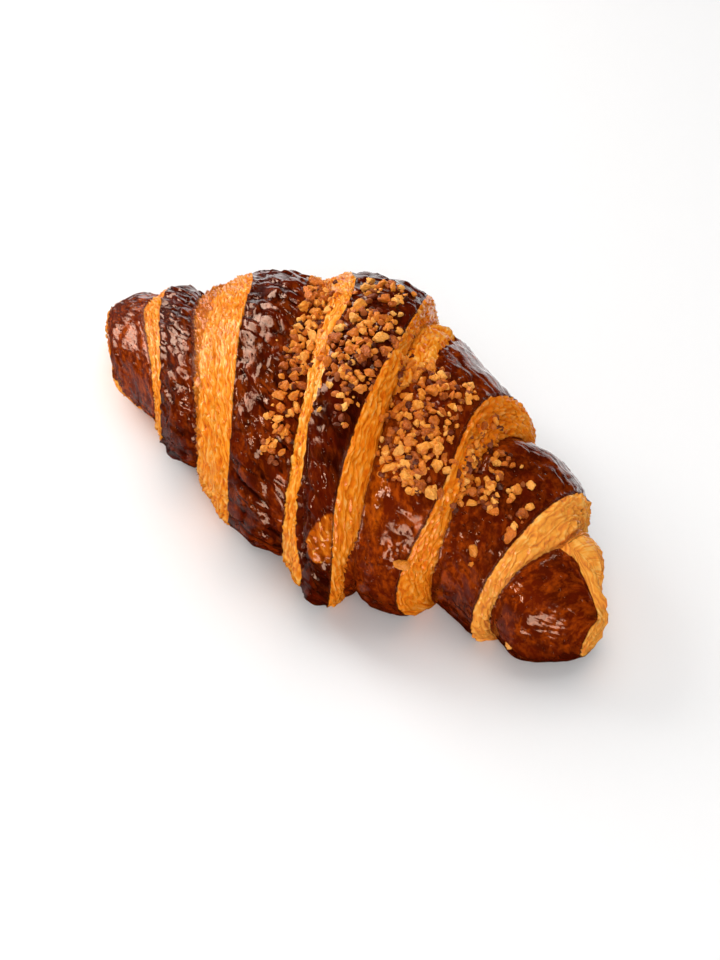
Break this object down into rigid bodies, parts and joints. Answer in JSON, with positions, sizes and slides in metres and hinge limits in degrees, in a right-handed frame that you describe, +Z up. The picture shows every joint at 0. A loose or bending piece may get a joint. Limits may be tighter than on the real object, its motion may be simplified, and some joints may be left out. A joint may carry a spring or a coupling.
{
  "type": "chocolate croissant",
  "caption": "Baked croissant with stepped, wrapped bands of dough, a dark chocolate glaze and chopped nuts pressed into the top.",
  "frame": {"origin": "middle of the bounding box's bottom, on the surface the croissant rests on", "axes": "+X along the roll towards its blunt dark end, +Z up, -Y the near side where the bands come closest together"},
  "size_m": [0.1726, 0.0868, 0.0592],
  "materials": {
    "crust": "glossy glaze over baked dough"
  },
  "bodies": {
    "root": {"croissant": "crust"}
  },
  "joints": []
}
